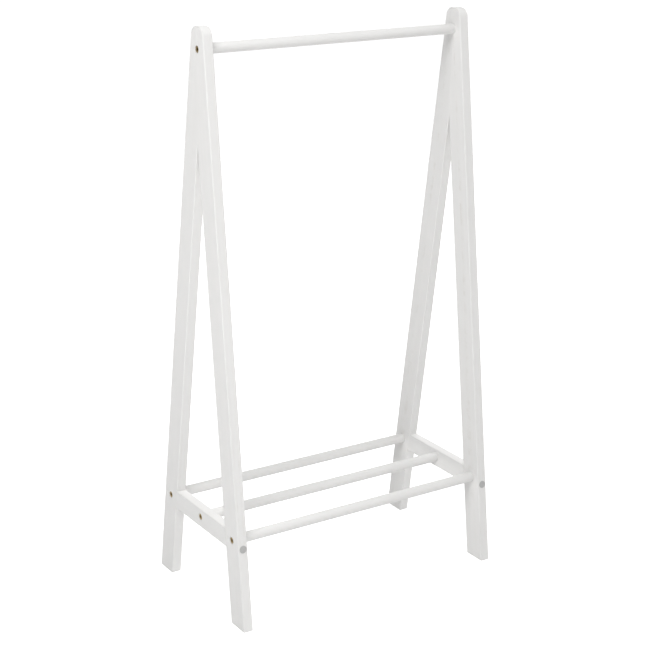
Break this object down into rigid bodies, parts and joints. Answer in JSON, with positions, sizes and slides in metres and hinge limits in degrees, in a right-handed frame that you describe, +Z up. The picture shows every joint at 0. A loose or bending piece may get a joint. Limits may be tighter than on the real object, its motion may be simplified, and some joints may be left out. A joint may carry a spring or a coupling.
{
  "type": "clothes rack",
  "caption": "Free-standing clothes rack with A-shaped end frames of flat boards, a round hanging rail and a low shelf of round bars.",
  "frame": {"origin": "on the floor, under the middle of the rack", "axes": "+X along the rail towards the right end frame, -Y towards the front, +Z up"},
  "size_m": [0.526, 0.2998, 1],
  "materials": {
    "white_paint": "satin white paint over solid wood",
    "pin_beech": "bare beech",
    "bolt_yellow_zinc": "yellow zinc plated steel",
    "insert_zinc": "plain zinc plated steel",
    "screw_zinc": "zinc plated steel",
    "cap_grey_plastic": "moulded, slightly satin"
  },
  "bodies": {
    "root": {"left_front_leg": "white_paint", "left_rear_leg": "white_paint", "left_crossbar": "white_paint", "right_front_leg": "white_paint", "right_rear_leg": "white_paint", "right_crossbar": "white_paint", "hanging_rail": "white_paint", "front_shelf_bar": "white_paint", "middle_shelf_bar": "white_paint", "rear_shelf_bar": "white_paint", "hanging_rail_left_bolt": "bolt_yellow_zinc", "hanging_rail_left_insert": "insert_zinc", "hanging_rail_right_bolt": "bolt_yellow_zinc", "hanging_rail_right_insert": "insert_zinc", "front_shelf_bar_left_bolt": "bolt_yellow_zinc", "front_shelf_bar_left_insert": "insert_zinc", "front_shelf_bar_right_bolt": "bolt_yellow_zinc", "front_shelf_bar_right_insert": "insert_zinc", "middle_shelf_bar_left_bolt": "bolt_yellow_zinc", "middle_shelf_bar_left_insert": "insert_zinc", "middle_shelf_bar_right_bolt": "bolt_yellow_zinc", "middle_shelf_bar_right_insert": "insert_zinc", "rear_shelf_bar_left_bolt": "bolt_yellow_zinc", "rear_shelf_bar_left_insert": "insert_zinc", "rear_shelf_bar_right_bolt": "bolt_yellow_zinc", "rear_shelf_bar_right_insert": "insert_zinc", "left_front_crossbar_screw": "screw_zinc", "left_front_screw_cap": "cap_grey_plastic", "left_front_crossbar_pin": "pin_beech", "left_rear_crossbar_screw": "screw_zinc", "left_rear_screw_cap": "cap_grey_plastic", "left_rear_crossbar_pin": "pin_beech", "left_lower_apex_pin": "pin_beech", "left_upper_apex_pin": "pin_beech", "right_front_crossbar_screw": "screw_zinc", "right_front_screw_cap": "cap_grey_plastic", "right_front_crossbar_pin": "pin_beech", "right_rear_crossbar_screw": "screw_zinc", "right_rear_screw_cap": "cap_grey_plastic", "right_rear_crossbar_pin": "pin_beech", "right_lower_apex_pin": "pin_beech", "right_upper_apex_pin": "pin_beech"}
  },
  "joints": []
}
